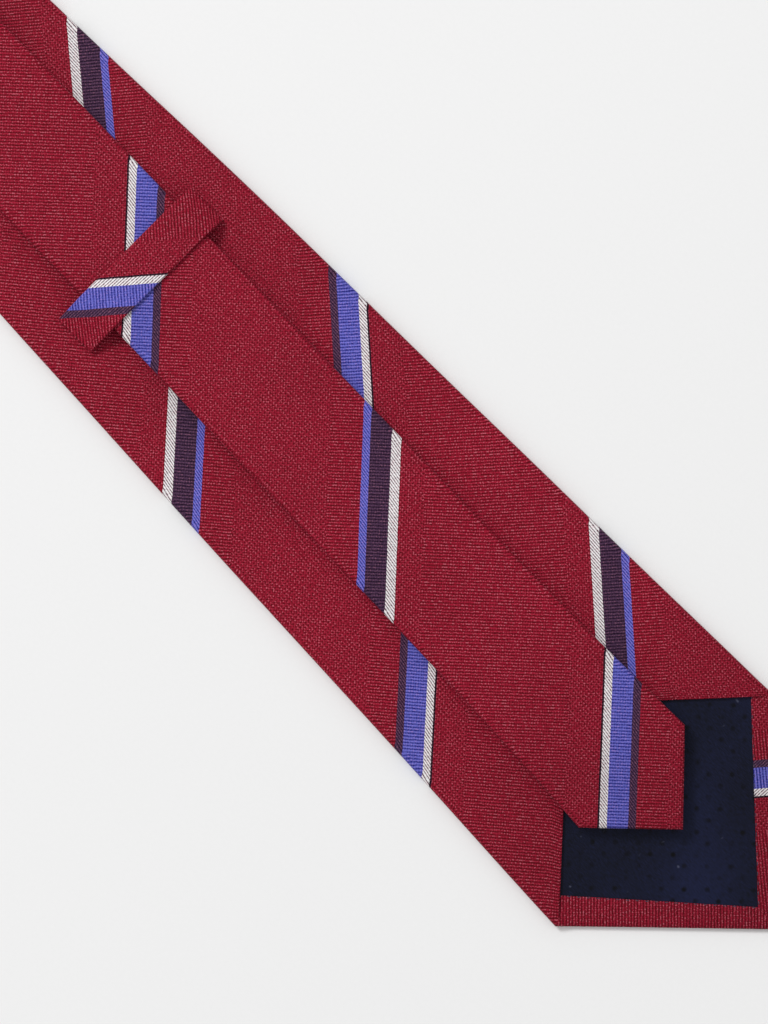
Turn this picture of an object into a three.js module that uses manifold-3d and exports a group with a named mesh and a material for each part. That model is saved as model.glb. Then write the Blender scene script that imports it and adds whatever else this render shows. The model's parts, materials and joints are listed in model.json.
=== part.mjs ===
// A necktie folded in half at the neck. The wide blade lies on its front, back upwards. The narrow tail lies
// on the blade's back, front upwards, and passes through the keeper. X runs to the blade's point, Z is up.
import * as THREE from 'three';
import { mergeVertices } from 'three/addons/utils/BufferGeometryUtils.js';
import Module from 'manifold-3d';

const wasm = await Module();
wasm.setup();

// ---- lengths along the tie, in millimetres
const FOLDED_LENGTH = 760;       // neck fold to the blade's point
const TAIL_SETBACK = 38;         // the tail's point stops this far short of the blade's point
const KEEPER_SETBACK = 247.4;    // blade's point to the middle of the keeper
const BLADE_WING_SETBACK = 82.8; // blade's point to where its two back wings meet
const TAIL_WING_SETBACK = 38;    // the same on the tail
const BLADE_TIPPING_LENGTH = 125;
const TAIL_TIPPING_LENGTH = 72;
const LIFT_SETBACK = 142;        // tail's point to the bend where its free end lifts
const RISE_SETBACK = 62.6;       // keeper's middle to the bend where the neck loop starts to rise
const FALL_LENGTH = 90;          // neck fold to the bend where the neck loop comes down again
const MOUTH_LENGTH = 80;         // neck fold to the middle of the blade's slanting end
const TONGUE_LENGTH = 135;       // neck fold to the end of the neck panel's tongue inside the blade
const SLEEVE_LENGTH = 180;       // neck fold to where the blade's deeper end starts to thin
const SLEEVE_RAMP = 20;
const WAIST_RUN = 87;            // from the thinned end to the blade's narrow waist

// ---- widths
const BLADE_WIDTH = 85.5;        // at the corners of the blade's point
const BLADE_KEEPER_WIDTH = 72.6; // the blade beside the keeper
const BLADE_WAIST_WIDTH = 52;
const NECK_WIDTH = 33;
const TAIL_WIDTH = 39.7;         // at the corners of the tail's point
const TAIL_FLARE_WIDTH = 36.2;   // where its last flare starts
const TAIL_FLARE_RUN = 60;       // and how far that is from the corners
const TAIL_KEEPER_WIDTH = 35.2;  // the tail where its neck loop starts to rise
const TAIL_DRIFT = 2.0;          // the tail lies this far off the blade's middle where the loop rises
const KEEPER_WIDTH = 12.4;
const KEEPER_PLAY = 5.4;         // room between the tail's edge and the keeper's end
const KEEPER_TURN = 0.9;         // degrees that the keeper lies off square
const HEM_AT_CORNER = 8.4;
const HEM_AT_POINT = 5.8;

// ---- thicknesses and clearances
const CLOTH = 0.4;
const TIPPING = 0.2;
const BLADE_PADDING = 1.0;
const TAIL_PADDING = 0.8;
const NECK_PADDING = 1.0;
const THREAD = 0.3;
const GAP = 0.3;                 // between pieces that touch
const SEAM_GAP = 2 * GAP + THREAD; // room for a thread between two edges, as in the slit between the wings
const TACK_LENGTH = 9;
const TACK_WIDTH = 1.6;
const KEEPER_TACK = 1.2;
const STITCH_INSET = 4;          // a slip stitch stops this far short of where the wings part

// ---- heights worked out from the layers
const BLADE_THICK = 2 * CLOTH + BLADE_PADDING + TIPPING + 3 * GAP;
const TAIL_THICK = 2 * CLOTH + TAIL_PADDING + TIPPING + 3 * GAP;
const SLEEVE_THICK = TAIL_THICK + 2 * (CLOTH + GAP);
const NECK_FRONT = CLOTH + GAP;
const KEEPER_BASE = BLADE_THICK + GAP;
const TACKS_TOP = BLADE_THICK + 2 * (GAP + THREAD);
const TAIL_BACK = Math.max(SLEEVE_THICK, TACKS_TOP, KEEPER_BASE + CLOTH) + GAP;
const TAIL_FRONT = TAIL_BACK + TAIL_THICK;
const KEEPER_TOP = TAIL_FRONT + GAP + CLOTH;

// ---- places along X, with the origin halfway along
const BLADE_POINT = FOLDED_LENGTH / 2;
const BLADE_CORNER = BLADE_POINT - BLADE_WIDTH / 2;
const BLADE_APEX = BLADE_POINT - BLADE_WING_SETBACK;
const TAIL_POINT = BLADE_POINT - TAIL_SETBACK;
const TAIL_CORNER = TAIL_POINT - TAIL_WIDTH / 2;
const TAIL_FLARE_X = TAIL_CORNER - TAIL_FLARE_RUN;
const TAIL_APEX = TAIL_POINT - TAIL_WING_SETBACK;
const BLADE_TACK_X = BLADE_APEX - 2 * TACK_LENGTH;
const TAIL_TACK_X = TAIL_APEX - TACK_LENGTH;
const KEEPER_X = BLADE_POINT - KEEPER_SETBACK;
const LIFT_X = TAIL_POINT - LIFT_SETBACK;
const RISE_X = KEEPER_X - RISE_SETBACK;
const FOLD_X = -FOLDED_LENGTH / 2;
const FALL_X = FOLD_X + FALL_LENGTH;
const CROWN_SPAN = (RISE_X - FALL_X) / 3;
const CROWN_NEAR_X = RISE_X - CROWN_SPAN;
const CROWN_FAR_X = FALL_X + CROWN_SPAN;
const SEAM_X = (CROWN_NEAR_X + CROWN_FAR_X) / 2;
const MOUTH_X = FOLD_X + MOUTH_LENGTH;
const TONGUE_X = FOLD_X + TONGUE_LENGTH;
const SLEEVE_X = FOLD_X + SLEEVE_LENGTH;
const FOLD_RADIUS = (TAIL_FRONT - NECK_FRONT) / 2;
const NECK_HALF = NECK_WIDTH / 2;
const SLEEVE_HALF = NECK_HALF + CLOTH + 2 * GAP;

// ---- how the shapes are made
const BACKWARD = Math.PI;
const FOLD_STEPS = 8;
const KEEPER_STEPS = 6;
const SHORTEST_STEP = 1;         // cross-sections closer than this are left out
const SPARE = 1;                 // cutting shapes reach this far past what they cut
const MERGE_DISTANCE = 1e-4;

// Half widths are straight lines between these places. The last one carries the sides on past the corners.
function flare([x0, value0], [x1, value1], x) {
  return value0 + (value1 - value0) * (x - x0) / (x1 - x0);
}

const bladeProfile = [
  [FOLD_X, SLEEVE_HALF],
  [SLEEVE_X + SLEEVE_RAMP, SLEEVE_HALF],
  [SLEEVE_X + SLEEVE_RAMP + WAIST_RUN, BLADE_WAIST_WIDTH / 2],
  [KEEPER_X, BLADE_KEEPER_WIDTH / 2],
  [BLADE_POINT, flare([KEEPER_X, BLADE_KEEPER_WIDTH / 2], [BLADE_CORNER, BLADE_WIDTH / 2], BLADE_POINT)],
];
const tailProfile = [
  [FOLD_X, NECK_HALF],
  [SEAM_X, NECK_HALF],
  [RISE_X, TAIL_KEEPER_WIDTH / 2],
  [TAIL_FLARE_X, TAIL_FLARE_WIDTH / 2],
  [TAIL_POINT, flare([TAIL_FLARE_X, TAIL_FLARE_WIDTH / 2], [TAIL_CORNER, TAIL_WIDTH / 2], TAIL_POINT)],
];
const driftProfile = [
  [FALL_X, 0],
  [RISE_X, TAIL_DRIFT],
  [TAIL_POINT, 0],
];
const bladeThickProfile = [
  [SLEEVE_X, SLEEVE_THICK],
  [SLEEVE_X + SLEEVE_RAMP, BLADE_THICK],
];

function along(profile, x) {
  const next = profile.findIndex(([place]) => place > x);
  if (next === 0) return profile[0][1];
  if (next < 0) return profile[profile.length - 1][1];
  return flare(profile[next - 1], profile[next], x);
}

// ---- strips swept along the tie
// A frame is one cross-section: heights in it run from the tie's front face towards its back.
function frame(x, z, turn, half, thick, centre) {
  return { x, z, tx: Math.cos(turn), tz: Math.sin(turn), half, thick, centre };
}

function between(start, end, profiles) {
  const low = Math.min(start, end);
  const high = Math.max(start, end);
  const inside = (x) => x > low + SHORTEST_STEP && x < high - SHORTEST_STEP;
  const inner = profiles.flat().map(([x]) => x).filter(inside);
  const places = [...new Set([low, ...inner, high])].sort((a, b) => a - b);
  return start < end ? places : places.reverse();
}

function bladeFrames(start, end) {
  const places = between(start, end, [bladeProfile, bladeThickProfile]);
  return places.map((x) => frame(x, 0, 0, along(bladeProfile, x), along(bladeThickProfile, x), 0));
}

function tailFrames(start, end) {
  const places = between(start, end, [tailProfile, driftProfile]);
  return places.map((x) => {
    const half = along(tailProfile, x);
    return frame(x, TAIL_FRONT, BACKWARD, half, TAIL_THICK, along(driftProfile, x));
  });
}

function foldFrames(start, end) {
  const centreX = FOLD_X + FOLD_RADIUS;
  const centreZ = TAIL_FRONT - FOLD_RADIUS;
  const frames = [frame(start, TAIL_FRONT, BACKWARD, NECK_HALF, TAIL_THICK, 0)];
  for (let step = 0; step <= FOLD_STEPS; step += 1) {
    const turn = Math.PI / 2 + Math.PI * step / FOLD_STEPS;
    const x = centreX + FOLD_RADIUS * Math.cos(turn);
    const z = centreZ + FOLD_RADIUS * Math.sin(turn);
    frames.push(frame(x, z, turn + Math.PI / 2, NECK_HALF, TAIL_THICK, 0));
  }
  frames.push(frame(end, NECK_FRONT, 0, NECK_HALF, TAIL_THICK, 0));
  return frames;
}

function sweep(outline, frames, place) {
  const shape = new THREE.Shape(outline.map(([a, b]) => new THREE.Vector2(a, b)));
  const last = frames.length - 1;
  const geometry = new THREE.ExtrudeGeometry(shape, { depth: last, steps: last, bevelEnabled: false });
  const position = geometry.attributes.position;
  for (let i = 0; i < position.count; i += 1) {
    const here = frames[Math.round(position.getZ(i))];
    const [y, height] = place(here, Math.round(position.getX(i)), Math.round(position.getY(i)));
    position.setXYZ(i, here.x - here.tz * height, here.centre + y, here.z + here.tx * height);
  }
  return geometry;
}

// The shell: a flat front, two folded sides, and two back wings whose turned edges stop at the slit.
const SHELL_OUTLINE = [
  [-1, 3], [-3, 3], [-3, 0], [3, 0], [3, 3], [1, 3], [1, 2], [2, 2], [2, 1], [-2, 1], [-2, 2], [-1, 2],
];

function shellPlace(here, a, b) {
  const across = [0, SEAM_GAP / 2, here.half - CLOTH, here.half];
  const heights = [0, CLOTH, here.thick - CLOTH, here.thick];
  return [Math.sign(a) * across[Math.abs(a)], heights[b]];
}

function shell(frames) {
  return sweep(SHELL_OUTLINE, frames, shellPlace);
}

const STRIP_OUTLINE = [[-1, 0], [1, 0], [1, 1], [-1, 1]];

function strip(frames, inset, low, high) {
  return sweep(STRIP_OUTLINE, frames, (here, a, b) => [a * (here.half - inset), b ? high : low]);
}

function block(frames, skin) {
  return sweep(STRIP_OUTLINE, frames, (here, a, b) => [a * (here.half - skin), b ? here.thick - skin : skin]);
}

// The slip stitch lies in the slit, level with the wings.
function slipStitch(frames) {
  return sweep(STRIP_OUTLINE, frames, (here, a, b) => [a * THREAD / 2, here.thick - CLOTH + b * THREAD]);
}

// ---- flat pieces and cuts
function plate(points, low, high) {
  const shape = new THREE.Shape(points.map(([x, y]) => new THREE.Vector2(x, y)));
  const geometry = new THREE.ExtrudeGeometry(shape, { depth: high - low, bevelEnabled: false });
  return geometry.translate(0, 0, low);
}

function solid(geometry) {
  const bare = geometry.clone();
  bare.deleteAttribute('normal');
  bare.deleteAttribute('uv');
  const merged = mergeVertices(bare, MERGE_DISTANCE);
  const vertProperties = new Float32Array(merged.attributes.position.array);
  const triVerts = new Uint32Array(merged.index.array);
  return new wasm.Manifold(new wasm.Mesh({ numProp: 3, vertProperties, triVerts }));
}

function surface(manifold) {
  const mesh = manifold.getMesh();
  const geometry = new THREE.BufferGeometry();
  geometry.setAttribute('position', new THREE.BufferAttribute(new Float32Array(mesh.vertProperties), 3));
  geometry.setIndex(new THREE.BufferAttribute(new Uint32Array(mesh.triVerts), 1));
  return geometry;
}

// A chevron along the two edges of a right-angled point. near and far are its distances inside those edges.
function chevron(end, near, far) {
  const outer = (distance) => [end.point - distance * Math.SQRT2, 0];
  const onWing = (distance, side) => {
    const reach = Math.hypot(end.corner - end.apex, end.half);
    const share = distance / reach;
    return [end.corner - share * (end.corner - end.apex), side * end.half * (1 - share)];
  };
  const right = [onWing(near.corner, 1), outer(near.point), onWing(near.corner, -1)];
  const left = [onWing(far.corner, -1), outer(far.point), onWing(far.corner, 1)];
  return [...right, ...left];
}

function pentagon(end, start, inset) {
  const point = end.point - inset * Math.SQRT2;
  const half = end.half + SPARE;
  return [[start, -half], [point - half, -half], [point, 0], [point - half, half], [start, half]];
}

// Turns a height measured from the front face into a pair of Z values, lowest first.
function levels(end, low, high) {
  const values = [end.front + end.up * low, end.front + end.up * high];
  return values.sort((a, b) => a - b);
}

// A pointed end is a flat block, hollowed to the cloth's thickness. Its slit and the lining's window are cut.
function pointedShell(end, frames, longerFrames) {
  const reach = SLEEVE_THICK + SPARE;
  const start = Math.min(...longerFrames.map(({ x }) => x)) - SPARE;
  const outline = solid(plate(pentagon(end, start, 0), ...levels(end, -SPARE, reach)));
  const inline = solid(plate(pentagon(end, start, CLOTH), ...levels(end, -SPARE, reach)));
  const outside = solid(block(frames, 0)).intersect(outline);
  const hollow = solid(block(longerFrames, CLOTH)).intersect(inline);
  const middle = end.thick / 2;
  const hem = chevron(end, { corner: 0, point: 0 }, { corner: HEM_AT_CORNER, point: HEM_AT_POINT });
  const window = solid(plate([...hem.slice(3), [end.apex, 0]], ...levels(end, middle, reach)));
  const slitEnd = end.apex + SEAM_GAP;
  const slitHalf = SEAM_GAP / 2;
  const slitPoints = [[start, -slitHalf], [slitEnd, -slitHalf], [slitEnd, slitHalf], [start, slitHalf]];
  const slit = solid(plate(slitPoints, ...levels(end, middle, reach)));
  return outside.subtract(hollow).subtract(window).subtract(slit);
}

function pointedStrip(end, frames, low, high) {
  const inset = CLOTH + GAP;
  const start = Math.min(...frames.map(({ x }) => x)) - SPARE;
  const inside = solid(plate(pentagon(end, start, inset), ...levels(end, -SPARE, SLEEVE_THICK + SPARE)));
  return surface(solid(strip(frames, inset, low, high)).intersect(inside));
}

function tippingSeam(end) {
  const shift = GAP * Math.SQRT2;
  const clear = { ...end, corner: end.corner + shift, apex: end.apex + shift };
  const near = { corner: HEM_AT_CORNER + 2 * GAP, point: HEM_AT_POINT + GAP };
  const far = { corner: near.corner + THREAD, point: near.point + THREAD };
  const low = end.thick - CLOTH;
  return plate(chevron(clear, near, far), ...levels(end, low, low + THREAD));
}

// Everything on one side of a line that crosses the tie on the bias.
function biasWedge(x, side) {
  const reach = BLADE_WIDTH;
  const far = x + side * FOLDED_LENGTH;
  const points = [[x - reach, -reach], [x + reach, reach], [far, reach], [far, -reach]];
  return solid(plate(points, -SPARE, KEEPER_TOP + SPARE));
}

// ---- the blade
const bladeEnd = {
  point: BLADE_POINT, corner: BLADE_CORNER, apex: BLADE_APEX, half: BLADE_WIDTH / 2,
  front: 0, up: 1, thick: BLADE_THICK,
};
const tailEnd = {
  point: TAIL_POINT, corner: TAIL_CORNER, apex: TAIL_APEX, half: TAIL_WIDTH / 2,
  front: TAIL_FRONT, up: -1, thick: TAIL_THICK,
};

function bladeShell() {
  const start = MOUTH_X - BLADE_WIDTH / 2;
  const longerFrames = bladeFrames(start - SPARE, BLADE_POINT);
  const whole = pointedShell(bladeEnd, bladeFrames(start, BLADE_POINT), longerFrames);
  return surface(whole.intersect(biasWedge(MOUTH_X, 1)));
}

function bladePadding() {
  const low = CLOTH + GAP;
  return pointedStrip(bladeEnd, bladeFrames(SLEEVE_X, BLADE_POINT), low, low + BLADE_PADDING);
}

function bladeTipping() {
  const low = CLOTH + BLADE_PADDING + 2 * GAP;
  const frames = bladeFrames(BLADE_POINT - BLADE_TIPPING_LENGTH, BLADE_POINT);
  return pointedStrip(bladeEnd, frames, low, low + TIPPING);
}

function bladeStitch() {
  return slipStitch(bladeFrames(SLEEVE_X + SLEEVE_RAMP, BLADE_APEX - STITCH_INSET));
}

function barTack(x, y, low) {
  const geometry = new THREE.BoxGeometry(TACK_WIDTH, TACK_LENGTH, THREAD);
  return geometry.translate(x, y, low + THREAD / 2);
}

// ---- the keeper, a flattened ring of the same cloth
const KEEPER_HALF = along(tailProfile, KEEPER_X) + along(driftProfile, KEEPER_X) + KEEPER_PLAY + CLOTH;

function flatRing(shape, half, low, high) {
  const radius = (high - low) / 2;
  const middle = (high + low) / 2;
  shape.moveTo(-half + radius, low);
  shape.lineTo(half - radius, low);
  shape.absarc(half - radius, middle, radius, -Math.PI / 2, Math.PI / 2, false);
  shape.lineTo(-half + radius, high);
  shape.absarc(-half + radius, middle, radius, Math.PI / 2, 3 * Math.PI / 2, false);
  return shape;
}

function keeperLoop() {
  const shape = flatRing(new THREE.Shape(), KEEPER_HALF, KEEPER_BASE, KEEPER_TOP);
  const hole = flatRing(new THREE.Path(), KEEPER_HALF - CLOTH, KEEPER_BASE + CLOTH, KEEPER_TOP - CLOTH);
  shape.holes.push(hole);
  const sweepBy = { depth: KEEPER_WIDTH, bevelEnabled: false, curveSegments: KEEPER_STEPS };
  const geometry = new THREE.ExtrudeGeometry(shape, sweepBy);
  geometry.translate(0, 0, -KEEPER_WIDTH / 2);
  geometry.rotateX(Math.PI / 2);
  geometry.rotateZ(Math.PI / 2 + THREE.MathUtils.degToRad(KEEPER_TURN));
  return geometry.translate(KEEPER_X, 0, 0);
}

function keeperTack(side) {
  const roundEnd = (KEEPER_TOP - KEEPER_BASE) / 2;
  const y = KEEPER_HALF - roundEnd - KEEPER_TACK / 2;
  const geometry = new THREE.BoxGeometry(KEEPER_WIDTH / 2, KEEPER_TACK, THREAD);
  geometry.translate(0, side * y, KEEPER_BASE + CLOTH + GAP + THREAD / 2);
  geometry.rotateZ(THREE.MathUtils.degToRad(KEEPER_TURN));
  return geometry.translate(KEEPER_X, 0, 0);
}

// ---- the tail leg, in stretches that meet at the bends
const JOINT_GAP = GAP / 2;
const TAIL_PADDING_LOW = CLOTH + GAP;

function tailShell(start, end) {
  return shell(tailFrames(start - JOINT_GAP, end + JOINT_GAP));
}

function tailPadding(start, end) {
  const frames = tailFrames(start - JOINT_GAP, end + JOINT_GAP);
  return strip(frames, CLOTH + GAP, TAIL_PADDING_LOW, TAIL_PADDING_LOW + TAIL_PADDING);
}

function tailStitch(start, end) {
  return slipStitch(tailFrames(start - STITCH_INSET, end + STITCH_INSET));
}

function tailTack() {
  return barTack(TAIL_TACK_X, along(driftProfile, TAIL_TACK_X), TAIL_BACK - GAP - THREAD);
}

function drift(geometry) {
  const position = geometry.attributes.position;
  for (let i = 0; i < position.count; i += 1) {
    position.setY(i, position.getY(i) + along(driftProfile, position.getX(i)));
  }
  return geometry;
}

function withoutDrift(frames) {
  return frames.map((here) => ({ ...here, centre: 0 }));
}

function tailEndShell() {
  const start = LIFT_X + JOINT_GAP;
  const frames = withoutDrift(tailFrames(TAIL_POINT, start));
  const longerFrames = withoutDrift(tailFrames(TAIL_POINT, start - SPARE));
  return drift(surface(pointedShell(tailEnd, frames, longerFrames)));
}

function tailEndPadding() {
  const frames = withoutDrift(tailFrames(TAIL_POINT, LIFT_X + JOINT_GAP));
  return drift(pointedStrip(tailEnd, frames, TAIL_PADDING_LOW, TAIL_PADDING_LOW + TAIL_PADDING));
}

function tailTipping() {
  const frames = withoutDrift(tailFrames(TAIL_POINT, TAIL_POINT - TAIL_TIPPING_LENGTH));
  const low = TAIL_PADDING_LOW + TAIL_PADDING + GAP;
  return drift(pointedStrip(tailEnd, frames, low, low + TIPPING));
}

// The neck loop's crown holds the bias seam. The tail panel stops on one side, the neck panel on the other.
function crownPanel(side) {
  const whole = solid(tailShell(CROWN_NEAR_X, CROWN_FAR_X));
  return surface(whole.intersect(biasWedge(SEAM_X + side * SEAM_GAP * Math.SQRT1_2, side)));
}

function seamThread() {
  const length = (NECK_WIDTH - 2 * GAP) * Math.SQRT2;
  const geometry = new THREE.BoxGeometry(length, THREAD, THREAD);
  geometry.rotateZ(Math.PI / 4);
  const low = TAIL_FRONT - CLOTH / 2;
  return geometry.translate(SEAM_X + along(driftProfile, SEAM_X), along(driftProfile, SEAM_X), low);
}

// ---- the fold, from the bend above the blade round to the tongue inside the blade
function foldShell() {
  return shell(foldFrames(FALL_X - JOINT_GAP, TONGUE_X));
}

function foldPadding() {
  const low = CLOTH + GAP;
  return strip(foldFrames(FALL_X - JOINT_GAP, TONGUE_X - GAP), CLOTH + GAP, low, low + NECK_PADDING);
}

function foldStitch() {
  return slipStitch(foldFrames(FALL_X - STITCH_INSET, TONGUE_X - STITCH_INSET));
}

// ---- colours
const silk = { color: 0x831f34, roughness: 0.55, metalness: 0 };
const lining = { color: 0x1d1d2c, roughness: 0.4, metalness: 0 };
const felt = { color: 0xe4ddcd, roughness: 0.95, metalness: 0 };
const redThread = { color: 0x9c2a3c, roughness: 0.7, metalness: 0 };
const navyThread = { color: 0x25263c, roughness: 0.7, metalness: 0 };

const tie = new THREE.Group();

function add(name, geometry, finish) {
  const mesh = new THREE.Mesh(geometry, new THREE.MeshStandardMaterial(finish));
  mesh.name = name;
  tie.add(mesh);
}

add('blade_shell', bladeShell(), silk);
add('blade_interlining', bladePadding(), felt);
add('blade_tipping', bladeTipping(), lining);
add('blade_tipping_seam', tippingSeam(bladeEnd), navyThread);
add('blade_slip_stitch', bladeStitch(), redThread);
add('blade_bar_tack', barTack(BLADE_TACK_X, 0, BLADE_THICK + GAP), redThread);
add('keeper_loop', keeperLoop(), silk);
add('keeper_tack_left', keeperTack(-1), redThread);
add('keeper_tack_right', keeperTack(1), redThread);

add('tail_shell_middle', tailShell(LIFT_X, RISE_X), silk);
add('tail_interlining_middle', tailPadding(LIFT_X, RISE_X), felt);
add('tail_slip_stitch_middle', tailStitch(LIFT_X, RISE_X), redThread);

add('tail_shell_end', tailEndShell(), silk);
add('tail_interlining_end', tailEndPadding(), felt);
add('tail_tipping', tailTipping(), lining);
add('tail_tipping_seam', drift(tippingSeam(tailEnd)), navyThread);
add('tail_slip_stitch_end', tailStitch(TAIL_APEX, LIFT_X), redThread);
add('tail_bar_tack', tailTack(), redThread);

add('tail_shell_rise', tailShell(RISE_X, CROWN_NEAR_X), silk);
add('tail_interlining_rise', tailPadding(RISE_X, CROWN_NEAR_X), felt);
add('tail_slip_stitch_rise', tailStitch(RISE_X, CROWN_NEAR_X), redThread);

add('tail_shell_crown', crownPanel(1), silk);
add('neck_shell_crown', crownPanel(-1), silk);
add('tail_interlining_crown', tailPadding(CROWN_NEAR_X, CROWN_FAR_X), felt);
add('neck_seam_thread', seamThread(), redThread);
add('neck_slip_stitch_crown', tailStitch(CROWN_NEAR_X, CROWN_FAR_X), redThread);

add('neck_shell_fall', tailShell(CROWN_FAR_X, FALL_X), silk);
add('neck_interlining_fall', tailPadding(CROWN_FAR_X, FALL_X), felt);
add('neck_slip_stitch_fall', tailStitch(CROWN_FAR_X, FALL_X), redThread);

add('neck_shell_fold', foldShell(), silk);
add('neck_interlining_fold', foldPadding(), felt);
add('neck_slip_stitch_fold', foldStitch(), redThread);

export default tie;
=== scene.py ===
"""A striped silk necktie, folded in half and lying on its front: its cloth, lining, keeper and stitching."""
import json
import math

import bmesh
import bpy
from mathutils import Matrix, Vector, noise


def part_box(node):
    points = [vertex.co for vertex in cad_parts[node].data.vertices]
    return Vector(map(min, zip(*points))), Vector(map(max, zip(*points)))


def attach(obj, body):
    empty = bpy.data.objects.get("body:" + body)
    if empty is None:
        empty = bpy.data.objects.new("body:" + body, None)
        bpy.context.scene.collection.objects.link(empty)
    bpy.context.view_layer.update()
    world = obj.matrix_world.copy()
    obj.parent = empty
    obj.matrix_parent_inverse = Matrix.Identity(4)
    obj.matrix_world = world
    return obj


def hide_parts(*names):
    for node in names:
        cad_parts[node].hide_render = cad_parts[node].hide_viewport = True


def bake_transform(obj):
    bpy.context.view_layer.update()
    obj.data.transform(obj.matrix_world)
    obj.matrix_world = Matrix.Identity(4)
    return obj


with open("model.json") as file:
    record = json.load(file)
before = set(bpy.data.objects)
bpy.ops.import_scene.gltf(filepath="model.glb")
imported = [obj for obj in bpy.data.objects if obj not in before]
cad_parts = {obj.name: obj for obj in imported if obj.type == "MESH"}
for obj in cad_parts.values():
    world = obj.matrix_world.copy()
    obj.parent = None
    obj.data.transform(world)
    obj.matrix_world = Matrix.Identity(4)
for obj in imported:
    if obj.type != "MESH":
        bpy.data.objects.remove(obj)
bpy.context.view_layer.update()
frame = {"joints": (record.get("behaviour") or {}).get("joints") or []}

MM = 0.001
bends = {joint["name"]: Vector(joint["pos_m"]).x for joint in frame["joints"] if "pos_m" in joint}

# ---- places taken from the frame, in metres
STITCH_INSET = 4 * MM             # the slip stitch stops this far short of where the wings part
SIDE_ROOM = 1 * MM                # the blade's open end is this much wider than the neck inside it, each side
SEAM_HEIGHT = 0.4 * MM            # a tipping seam starts this far below the wings' face
BLADE_LOW, BLADE_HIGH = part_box("blade_shell")
BLADE_POINT = BLADE_HIGH.x
BLADE_HALF = BLADE_HIGH.y
BLADE_CORNER = BLADE_POINT - BLADE_HALF
BLADE_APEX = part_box("blade_slip_stitch")[1].x + STITCH_INSET
BLADE_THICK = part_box("blade_tipping_seam")[0].z + SEAM_HEIGHT
SLEEVE_THICK = BLADE_HIGH.z
TAIL_LOW, TAIL_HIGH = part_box("tail_shell_end")
TAIL_POINT = TAIL_HIGH.x
TAIL_HALF = (TAIL_HIGH.y - TAIL_LOW.y) / 2
TAIL_CORNER = TAIL_POINT - TAIL_HALF
TAIL_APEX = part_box("tail_slip_stitch_end")[1].x + STITCH_INSET
TAIL_FRONT = TAIL_HIGH.z
TAIL_THICK = TAIL_HIGH.z - TAIL_LOW.z
NECK_LOW, NECK_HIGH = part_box("neck_shell_fold")
NECK_HALF = NECK_HIGH.y
TONGUE_X = NECK_HIGH.x
FOLD_RADIUS = (TAIL_FRONT - NECK_LOW.z) / 2
FOLD_X = NECK_LOW.x + FOLD_RADIUS
MOUTH_X = BLADE_LOW.x + NECK_HALF + SIDE_ROOM
SLEEVE_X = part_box("blade_interlining")[0].x
KEEPER_X = sum(corner.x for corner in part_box("keeper_loop")) / 2
KEEPER_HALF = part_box("keeper_tack_right")[1].y + 2.3 * MM
SEAM_X = (bends["neck_crown_near"] + bends["neck_crown_far"]) / 2

# ---- the cut of the cloth
CLOTH = 0.35 * MM
KEEPER_WIDTH = 12.4 * MM
KEEPER_TURN = math.radians(0.9)
SLEEVE_RAMP = 20 * MM
WAIST_X = SLEEVE_X + 107 * MM
WAIST_HALF = 26 * MM
BLADE_KEEPER_HALF = 36.3 * MM
TAIL_KEEPER_HALF = 17.6 * MM
TAIL_FLARE_HALF = 18.1 * MM       # the tail's sides open out more over the last stretch before its corners
TAIL_FLARE_RUN = 60 * MM
TAIL_LAST_HALF = 18.7 * MM
TAIL_LAST_FLARE = 24 * MM
TAIL_DRIFT = 2.0 * MM
HEM_AT_POINT = 5.8 * MM
HEM_DROP = 0.9 * MM               # the hem lies this far below the wings
HEM_SETTLE = 4 * MM               # past the corner, the hem has sunk to its level
HEM_LIP = 0.2 * MM
HEM_TUCK = 3 * MM                 # how far the hem runs on under the wings
SLIT = 0.4 * MM                   # half the slit between the wings
LIP = 0.35 * MM                   # radius of a turned edge
LIP_UNDER = 3 * MM                # cloth turned under at an edge

# ---- fineness of the meshes
STEP = 5 * MM
FRONT_STEPS = 16
ROUND_STEPS = 8
WING_STEPS = 10
LIP_STEPS = 5

# ---- widths along the tie. The blade and the tail flare in straight runs, which pressing has eased into each other.
BLADE_SIDES = [
    (NECK_LOW.x, NECK_HALF + SIDE_ROOM),
    (SLEEVE_X + SLEEVE_RAMP, NECK_HALF + SIDE_ROOM),
    (WAIST_X, WAIST_HALF),
    (KEEPER_X, BLADE_KEEPER_HALF),
    (BLADE_CORNER, BLADE_HALF),
]
TAIL_SIDES = [
    (NECK_LOW.x, NECK_HALF),
    (SEAM_X, NECK_HALF),
    (bends["neck_open"], TAIL_KEEPER_HALF),
    (TAIL_CORNER - TAIL_FLARE_RUN, TAIL_FLARE_HALF),
    (TAIL_CORNER - TAIL_LAST_FLARE, TAIL_LAST_HALF),
    (TAIL_CORNER, TAIL_HALF),
]
TAIL_MIDDLE = [
    (NECK_LOW.x, 0),
    (bends["neck_close"], 0),
    (bends["neck_open"], TAIL_DRIFT),
    (TAIL_POINT, 0),
]
EASE = 8 * MM


def straight(profile, x):
    """The value at x on straight lines between (place, value) pairs, which run on past both ends."""
    pairs = list(zip(profile, profile[1:]))
    (x0, value0), (x1, value1) = next((pair for pair in pairs if x <= pair[1][0]), pairs[-1])
    return value0 + (value1 - value0) * (x - x0) / (x1 - x0)


def eased(profile, x):
    """The same, with each corner rounded off."""
    return sum(straight(profile, x + step * EASE) for step in range(-3, 4)) / 7


def smooth(share):
    share = min(max(share, 0), 1)
    return share * share * (3 - 2 * share)


def mix(a, b, share):
    return a + (b - a) * share


def evenly(start, end, step=STEP):
    """Places from start to end, about a step apart."""
    count = max(1, round(abs(end - start) / step))
    return [mix(start, end, i / count) for i in range(count + 1)]


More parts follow.
